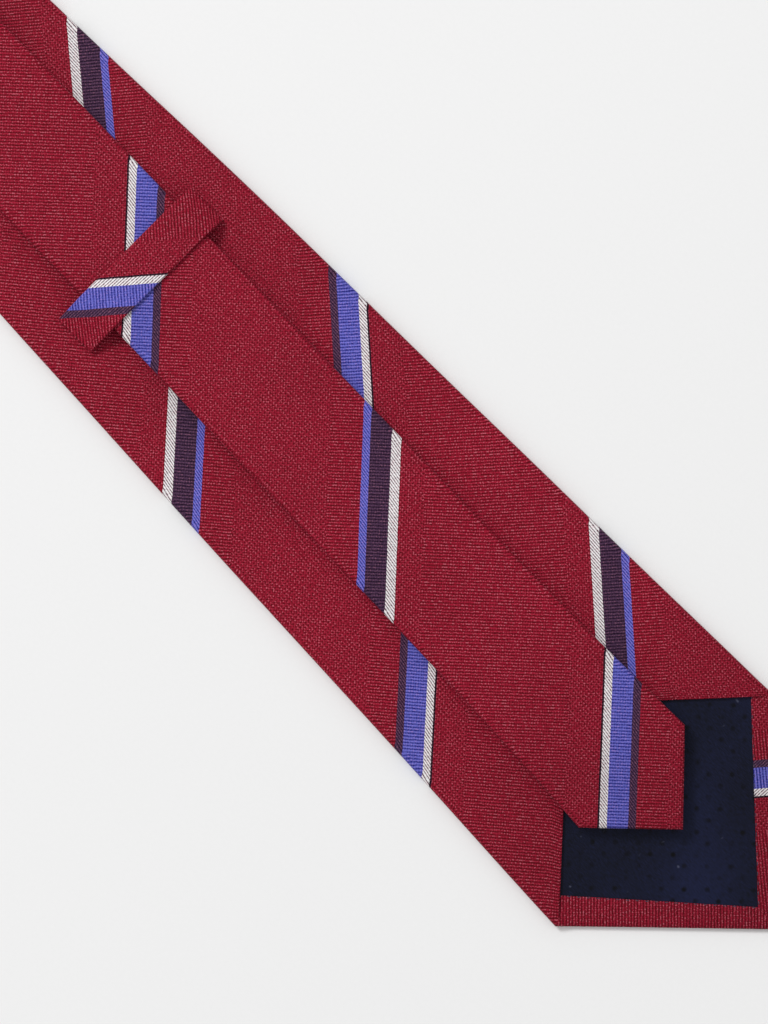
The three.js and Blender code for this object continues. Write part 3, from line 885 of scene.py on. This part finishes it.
REPEAT = 131 * MM                 # the stripes repeat after this much cloth
RIB = 0.83 * MM
BASKET = 1.33 * MM                # two pairs of yarns over and under
TWILL = 1.02 * MM
TWILL_SLANT = 1.3
RIBBED, BASKETED, TWILLED = (0, 0, 0, 1), (1, 0, 0, 1), (0, 1, 0, 1)
GROUND = dye(167, 25, 53), dye(82, 0, 10)
WHITE = dye(255, 255, 255), dye(82, 24, 50)
NAVY = dye(84, 55, 84), dye(26, 4, 30)
BLUE = dye(117, 118, 214), dye(30, 32, 116)
EDGE = dye(52, 22, 40), dye(20, 4, 16)
STRIPES = [
    # where each stripe starts, in millimetres, its light and dark yarns, and its weave
    (0, WHITE, TWILLED), (2.4, NAVY, RIBBED), (7.8, BLUE, TWILLED), (10.2, GROUND, RIBBED), (18.8, GROUND, BASKETED),
    (56.7, GROUND, RIBBED), (64.5, NAVY, TWILLED), (66.9, BLUE, RIBBED), (72.3, WHITE, TWILLED), (74.7, EDGE, RIBBED),
    (74.95, GROUND, BASKETED), (83.9, GROUND, RIBBED), (124.3, GROUND, BASKETED), (130.75, EDGE, RIBBED),
]


PAINTED_SHADE_START, PAINTED_SHADE_END = 270 * MM, 370 * MM
PAINTED_SHADE = 0.72                       # painted shade: the silk darkens towards the points, standing in for the light falling off there


def silk_finish():
    finish, nodes = tree_of("striped silk")
    across, along = nodes.cloth_place()
    stray = nodes.noise(nodes.pair(across, along), 260.0, 1.0)
    wavering = nodes.math("ADD", across, nodes.range(stray, 0.0, 1.0, -0.09 * MM, 0.09 * MM))
    place = nodes.math("FRACT", nodes.math("DIVIDE", wavering, REPEAT))
    starts = [start * MM / REPEAT for start, _, _ in STRIPES]
    light = nodes.bands(place, [(start, yarns[0]) for start, (_, yarns, _) in zip(starts, STRIPES)])
    dark = nodes.bands(place, [(start, yarns[1]) for start, (_, yarns, _) in zip(starts, STRIPES)])
    weave = nodes.bands(place, [(start, kind) for start, (_, _, kind) in zip(starts, STRIPES)])
    kinds = nodes.add("ShaderNodeSeparateColor")
    nodes.feed(kinds.inputs[0], weave)
    slub, fleck = yarn(nodes, across, along, 2.4 * MM, 0.5 * MM)
    drift = nodes.math("MULTIPLY_ADD", slub, 0.12 * MM, along)
    speck = nodes.noise(nodes.pair(across, along), 2600.0, 0.0)
    rib = nodes.math("MULTIPLY_ADD", nodes.swing(across, BASKET / 2), 0.12, nodes.wave(drift, RIB))
    check = nodes.math("MULTIPLY", nodes.swing(across, BASKET), nodes.swing(along, BASKET))
    yarns = nodes.math("ADD", nodes.swing(across, BASKET / 2), nodes.swing(drift, BASKET / 2))
    basket = nodes.math("MULTIPLY_ADD", yarns, 0.2, nodes.math("MULTIPLY_ADD", check, 0.34, 0.5))
    twill = nodes.wave(nodes.math("MULTIPLY_ADD", across, TWILL_SLANT, along), TWILL)
    twill = nodes.range(twill, 0.03, 0.62)
    woven = nodes.level(kinds.outputs[1], nodes.level(kinds.outputs[0], rib, basket), twill)
    uneven = nodes.math("MULTIPLY_ADD", nodes.math("SUBTRACT", slub, 0.5), 0.4, woven)
    uneven = nodes.math("MULTIPLY_ADD", nodes.math("SUBTRACT", speck, 0.5), 1.1, uneven)
    shade = nodes.range(uneven, -0.1, 1.15)
    colour = nodes.mix(shade, dark, light)
    # painted highlights: bright specks on the raised yarns and light flecks stand in for glints of light on the silk,
    # brighter on brighter yarns
    glint = nodes.math("MULTIPLY", nodes.range(speck, 0.54, 0.7), nodes.range(woven, 0.4, 0.85))
    bright = nodes.add("ShaderNodeSeparateColor")
    nodes.feed(bright.inputs[0], light)
    strength = nodes.range(bright.outputs[0], 0.0, 0.35, 0.1, 0.44)
    colour = nodes.mix(nodes.math("MULTIPLY", glint, strength), colour, dye(214, 138, 152))
    colour = nodes.mix(nodes.math("MULTIPLY", fleck, 0.2), colour, dye(196, 120, 132))
    wear = nodes.noise(nodes.pair(across, along), 32.0, 2.0)
    place = nodes.add("ShaderNodeSeparateXYZ")
    nodes.feed(place.inputs[0], nodes.add("ShaderNodeTexCoord").outputs["Object"])
    # painted shade: darker towards the points along X, where the light falls off; multiplied with the random wear tone
    painted_falloff = nodes.range(place.outputs[0], PAINTED_SHADE_START, PAINTED_SHADE_END, 1.0, PAINTED_SHADE)
    tone = nodes.math("MULTIPLY", nodes.range(wear, 0.3, 0.7, 0.94, 1.06), painted_falloff)
    colour = nodes.mix(1.0, colour, nodes.tone(tone), "MULTIPLY")
    nodes.finish(colour, nodes.range(shade, 0.0, 1.0, 0.62, 0.48), nodes.bump(shade, 0.09 * MM, 0.8),
                 Specular_IOR_Level=0.08, Sheen_Weight=0.05, Sheen_Roughness=0.35,
                 Sheen_Tint=(1.0, 0.45, 0.55, 1.0))
    return finish


DOT_PITCH = 4.4 * MM
DOT = 0.95 * MM


def lining_finish():
    finish, nodes = tree_of("navy pin-dot lining")
    along, across = nodes.cloth_place()
    cells = [nodes.math("FRACT", nodes.math("DIVIDE", value, DOT_PITCH)) for value in (along, across)]
    offs = [nodes.math("MULTIPLY", nodes.math("SUBTRACT", cell, 0.5), DOT_PITCH) for cell in cells]
    squares = [nodes.math("MULTIPLY", off, off) for off in offs]
    distance = nodes.math("SQRT", nodes.math("ADD", *squares))
    dot = nodes.range(distance, DOT, DOT * 0.4)
    strength = nodes.range(nodes.noise(nodes.pair(along, across), 190.0, 2.0), 0.4, 0.65, 0.15, 1.0)
    slub, fleck = yarn(nodes, along, across, 1.6 * MM, 0.25 * MM)
    twill = nodes.wave(nodes.math("ADD", along, across), 0.4 * MM)
    shade = nodes.math("ADD", nodes.math("MULTIPLY", slub, 0.6), nodes.math("MULTIPLY", twill, 0.4))
    # painted sheen: large soft patches of lighter and darker navy stand in for the satin's sheen
    painted_sheen_patches = nodes.range(nodes.noise(nodes.pair(along, across), 28.0, 1.0), 0.35, 0.65, -0.25, 0.3)
    shade = nodes.math("ADD", shade, painted_sheen_patches)
    colour = nodes.mix(shade, dye(3, 4, 12), dye(24, 30, 62))
    lint = nodes.range(nodes.noise(nodes.pair(along, across), 420.0, 1.0), 0.74, 0.8)
    colour = nodes.mix(nodes.math("MULTIPLY", dot, strength), colour, dye(0, 0, 4))
    colour = nodes.mix(nodes.math("MULTIPLY", lint, 0.4), colour, dye(96, 100, 124))
    # painted highlight: light blue flecks stand in for glints on the satin
    colour = nodes.mix(nodes.math("MULTIPLY", fleck, 0.3), colour, dye(70, 70, 104))
    nodes.finish(colour, nodes.range(shade, 0.0, 1.0, 0.5, 0.36), nodes.bump(shade, 0.04 * MM, 0.7),
                 Specular_IOR_Level=0.12)
    return finish


def wool_finish():
    finish, nodes = tree_of("brushed wool interlining")
    along, across = nodes.cloth_place()
    slub, fleck = yarn(nodes, along, across, 2.0 * MM, 0.7 * MM)
    woven = nodes.math("MULTIPLY", nodes.wave(along, 1.1 * MM), nodes.wave(across, 1.1 * MM))
    shade = nodes.level(0.5, slub, woven)
    colour = nodes.mix(shade, dye(196, 186, 166), dye(238, 232, 218))
    colour = nodes.mix(nodes.math("MULTIPLY", fleck, 0.5), colour, dye(170, 158, 140))
    nodes.finish(colour, nodes.range(shade, 0.0, 1.0, 0.95, 0.85), nodes.bump(shade, 0.15 * MM),
                 Specular_IOR_Level=0.15)
    return finish


def thread_finish(name, light, dark):
    """Twisted thread: its plies wind round it."""
    finish, nodes = tree_of(name)
    place = nodes.add("ShaderNodeSeparateXYZ")
    nodes.feed(place.inputs[0], nodes.add("ShaderNodeTexCoord").outputs["Object"])
    x, y, z = place.outputs
    twist = nodes.wave(nodes.math("ADD", nodes.math("ADD", x, y), nodes.math("MULTIPLY", z, 2.0)), 0.35 * MM)
    slub, fleck = yarn(nodes, x, y, 0.9 * MM, 0.3 * MM)
    shade = nodes.level(0.35, twist, slub)
    colour = nodes.mix(shade, dark, light)
    nodes.finish(colour, nodes.range(fleck, 0.0, 1.0, 0.5, 0.7), nodes.bump(shade, 0.05 * MM), Sheen_Weight=0.1)
    return finish


def floor_finish():
    finish, nodes = tree_of("pale floor")
    place = nodes.add("ShaderNodeTexCoord").outputs["Object"]
    grain = nodes.noise(place, 900.0, 2.0)
    colour = nodes.mix(grain, (0.79, 0.79, 0.79, 1), (0.81, 0.81, 0.81, 1))
    nodes.finish(colour, nodes.range(grain, 0.0, 1.0, 0.9, 0.95), nodes.bump(grain, 0.02 * MM, 0.3))
    return finish


SILK = silk_finish()
LINING = lining_finish()
WOOL = wool_finish()
RED_THREAD = thread_finish("red thread", dye(150, 40, 58), dye(88, 6, 22))
NAVY_THREAD = thread_finish("navy thread", dye(52, 52, 78), dye(16, 16, 30))


# ---- the blade
WOOL_HEIGHT = 1.4 * MM
WOOL_THICK = 0.9 * MM
WOOL_INSET = 0.8 * MM
LINING_THICK = 0.15 * MM
LINING_TUCK = 0.7 * MM            # the lining runs on under the hem's inner edge by this much

blade_end = PointedEnd(blade, BLADE_POINT, BLADE_CORNER, BLADE_APEX, (5.5 * MM, 8.4 * MM),
                       trims=(4.6 * MM, 2.4 * MM))
blade_silk = pointed_strip("blade_silk", blade_end, MOUTH_X, SILK, mouth=MOUTH_X)
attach(blade_silk, "blade")
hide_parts("blade_shell")



def wool_corners(end):
    return [Vector((end.corner[side], side * (end.half - WOOL_INSET))) for side in (-1, 1)]


blade_wool = pointed_layer("blade_wool", blade, SLEEVE_X, *wool_corners(blade_end), BLADE_POINT - 1.5 * MM,
                           WOOL_HEIGHT, WOOL_THICK, WOOL)
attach(blade_wool, "blade")
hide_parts("blade_interlining")


def lining_piece(name, end, start):
    height = 2 * end.hem_round - 0.35 * MM
    left, right = (Vector((end.hem_start[side].x + LINING_TUCK, side * end.hem_start[side].y)) for side in (-1, 1))
    piece = pointed_layer(name, end.leg, start, left, right, end.hem_point + LINING_TUCK, height, LINING_THICK, LINING)
    return piece


def lining_stitches(name, end):
    """The row that joins a lining to its hem, along both edges of the point."""
    places = []
    for side in (1, -1):
        start = end.leg.place(end.hem_start[side].x, side * end.hem_start[side].y, 2 * end.hem_round - 0.1 * MM)
        stop = end.leg.place(end.hem_point, 0, 2 * end.hem_round - 0.1 * MM)
        places += line_places(start, stop, SEAM_PITCH)
    return stitch_row(name, SEAM_LENGTH, places, NAVY_THREAD)


blade_lining = lining_piece("blade_lining", blade_end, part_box("blade_tipping")[0].x)
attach(blade_lining, "blade")
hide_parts("blade_tipping")

blade_lining_seam = lining_stitches("blade_lining_stitches", blade_end)
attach(blade_lining_seam, "blade")
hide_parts("blade_tipping_seam")

slip_low, slip_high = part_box("blade_slip_stitch")
blade_slip = stitch_row("blade_back_stitches", SLIP_LENGTH, slip_places(blade, slip_low.x, slip_high.x),
                        RED_THREAD)
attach(blade_slip, "blade")
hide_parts("blade_slip_stitch")

tack_low, tack_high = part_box("blade_bar_tack")
blade_tack = stitch_row("blade_tack", tack_high.y - tack_low.y, tack_places(blade, tack_low.x, BLADE_THICK + THREAD / 2),
                        RED_THREAD)
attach(blade_tack, "blade")
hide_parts("blade_bar_tack")

# ---- the keeper and the stitches that hold its ends
keeper = keeper_piece("keeper", SILK)
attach(keeper, "blade")
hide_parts("keeper_loop")

for side in ("left", "right"):
    low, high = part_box("keeper_tack_" + side)
    middle = (low + high) / 2
    places = [(middle + Vector((0, i * THREAD * 1.2, 0)), Vector((1, 0, 0))) for i in (-1, 0, 1)]
    tack = stitch_row("keeper_stitches_" + side, high.x - low.x, places, RED_THREAD)
    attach(tack, "blade")
    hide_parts("keeper_tack_" + side)

# ---- the tail and the neck, in stretches along the tie
TAIL_WOOL_HEIGHT = 1.35 * MM
TAIL_WOOL_THICK = 0.8 * MM
FOLD_LENGTH = math.pi * (FOLD_RADIUS - TAIL_THICK / 2)
tongue_end = FOLD_X - FOLD_LENGTH - (TONGUE_X - FOLD_X)
fold_start = FOLD_X + 37 * MM
fall_start = bends["neck_close"] + 40 * MM
rise_start = bends["neck_open"] - 50 * MM
middle_start = KEEPER_X


STRETCHES = [
    # name, leg, places along it, the bodies it crosses, from its tail end, and the joint between them
    ("tail_middle", tail, evenly(rise_start, middle_start), ("tail_middle", "neck_rise"), "neck_open",
     ["tail_shell_middle"], "tail_interlining_middle", "tail_slip_stitch_middle"),
    ("tail_rise", tail, evenly(SEAM_X, rise_start), ("neck_rise", "neck_crown"), "neck_crown_near",
     ["tail_shell_rise", "tail_shell_crown"], "tail_interlining_rise", "tail_slip_stitch_rise"),
    ("neck_crown", neck, evenly(fall_start, SEAM_X), ("neck_crown", "neck_fall"), "neck_crown_far",
     ["neck_shell_crown"], "tail_interlining_crown", "neck_slip_stitch_crown"),
    ("neck_fall", neck, evenly(fold_start, fall_start), ("neck_fall", "neck_fold"), "neck_close",
     ["neck_shell_fall"], "neck_interlining_fall", "neck_slip_stitch_fall"),
]
for name, leg, places, (near, far), joint, shells, wool_node, slip_node in STRETCHES:
    silk = folded_strip(name + "_silk", leg, places, SILK)
    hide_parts(*shells)
    wool = plain_layer(name + "_wool", leg, places, WOOL_INSET, TAIL_WOOL_HEIGHT, TAIL_WOOL_THICK, WOOL)
    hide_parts(wool_node)
    slip = stitch_row(name + "_back_stitches", SLIP_LENGTH, slip_places(leg, places[0], places[-1]),
                      RED_THREAD)
    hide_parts(slip_node)
    for piece in (silk, wool, slip):
        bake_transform(piece)

tail_end = PointedEnd(tail, TAIL_POINT, TAIL_CORNER, TAIL_APEX, (6 * MM, 6 * MM))
tail_silk = pointed_strip("tail_point_silk", tail_end, middle_start, SILK)
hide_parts("tail_shell_end")
tail_wool = pointed_layer("tail_point_wool", tail, middle_start, *wool_corners(tail_end), TAIL_POINT - 1.5 * MM,
                          TAIL_WOOL_HEIGHT, TAIL_WOOL_THICK, WOOL)
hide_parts("tail_interlining_end")
tail_slip = stitch_row("tail_point_back_stitches", SLIP_LENGTH,
                       slip_places(tail, middle_start, TAIL_APEX - STITCH_INSET), RED_THREAD)
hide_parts("tail_slip_stitch_end")
for piece in (tail_silk, tail_wool, tail_slip):
    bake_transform(piece)

tail_lining = lining_piece("tail_lining", tail_end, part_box("tail_tipping")[0].x)
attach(tail_lining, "tail_end")
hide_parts("tail_tipping")
tail_lining_seam = lining_stitches("tail_lining_stitches", tail_end)
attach(tail_lining_seam, "tail_end")
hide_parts("tail_tipping_seam")
tack_low, tack_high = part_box("tail_bar_tack")
tail_tack = stitch_row("tail_tack", tack_high.y - tack_low.y, tack_places(tail, tack_low.x, TAIL_THICK + THREAD / 2),
                       RED_THREAD)
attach(tail_tack, "tail_end")
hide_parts("tail_bar_tack")

bias_reach = NECK_HALF - 2 * MM
bias_level = TAIL_THICK / 2 * SEAM_SINK + THREAD / 2
bias_ends = [neck.place(SEAM_X + side * bias_reach, side * bias_reach, bias_level) for side in (-1, 1)]
bias_seam = stitch_row("neck_seam_stitches", SEAM_LENGTH, line_places(*bias_ends, SEAM_PITCH), RED_THREAD)
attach(bias_seam, "neck_crown")
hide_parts("neck_seam_thread")

round_fold = [FOLD_X - FOLD_LENGTH * i / 14 for i in range(1, 15)]
fold_places = evenly(fold_start, FOLD_X) + round_fold + evenly(round_fold[-1], tongue_end)[1:]
neck_fold_silk = folded_strip("neck_fold_silk", fold, fold_places, SILK)
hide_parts("neck_shell_fold")
neck_fold_wool = plain_layer("neck_fold_wool", fold, fold_places, WOOL_INSET, TAIL_WOOL_HEIGHT, TAIL_WOOL_THICK, WOOL)
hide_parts("neck_interlining_fold")
neck_fold_slip = stitch_row("neck_fold_back_stitches", SLIP_LENGTH, slip_places(fold, fold_start, tongue_end),
                            RED_THREAD)
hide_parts("neck_slip_stitch_fold")
for piece in (neck_fold_silk, neck_fold_wool, neck_fold_slip):
    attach(piece, "neck_fold")

# ---- floor, light and camera
VIEW_X = 224.9 * MM
VIEW_Y = 1.7 * MM
VIEW_HEIGHT = 1.2
VIEW_TALL = 276.3 * MM            # what the camera takes in from top to bottom
VIEW_TURN = math.radians(45.9)
SENSOR = 36.0

bpy.ops.object.select_all(action="DESELECT")
bpy.ops.mesh.primitive_plane_add(size=6, location=(0, 0, -0.2 * MM))
floor = bpy.context.active_object
floor.name = "floor"
floor.data.materials.append(floor_finish())

scene = bpy.context.scene
scene.view_settings.view_transform = "Standard"
world = bpy.data.worlds.new("studio")
world.use_nodes = True
world.node_tree.nodes["Background"].inputs["Color"].default_value = (1, 1, 1, 1)
world.node_tree.nodes["Background"].inputs["Strength"].default_value = 0.68
scene.world = world


def lamp(name, place, size, power):
    """A soft square lamp that points at the tie."""
    light = bpy.data.lights.new(name, "AREA")
    light.size = size
    light.energy = power
    piece = bpy.data.objects.new(name, light)
    scene.collection.objects.link(piece)
    piece.location = place
    aim = Vector((VIEW_X, 0, 0)) - piece.location
    piece.rotation_euler = aim.to_track_quat("-Z", "Y").to_euler()
    return piece


lamp("key", Vector((-1.9, 0.0, 2.2)), 0.8, 54)

view = bpy.data.cameras.new("view")
view.lens = SENSOR * VIEW_HEIGHT / VIEW_TALL
view.sensor_width = SENSOR
camera = bpy.data.objects.new("view", view)
scene.collection.objects.link(camera)
camera.location = (VIEW_X, VIEW_Y, VIEW_HEIGHT)
camera.rotation_euler = (0, 0, VIEW_TURN)
scene.camera = camera
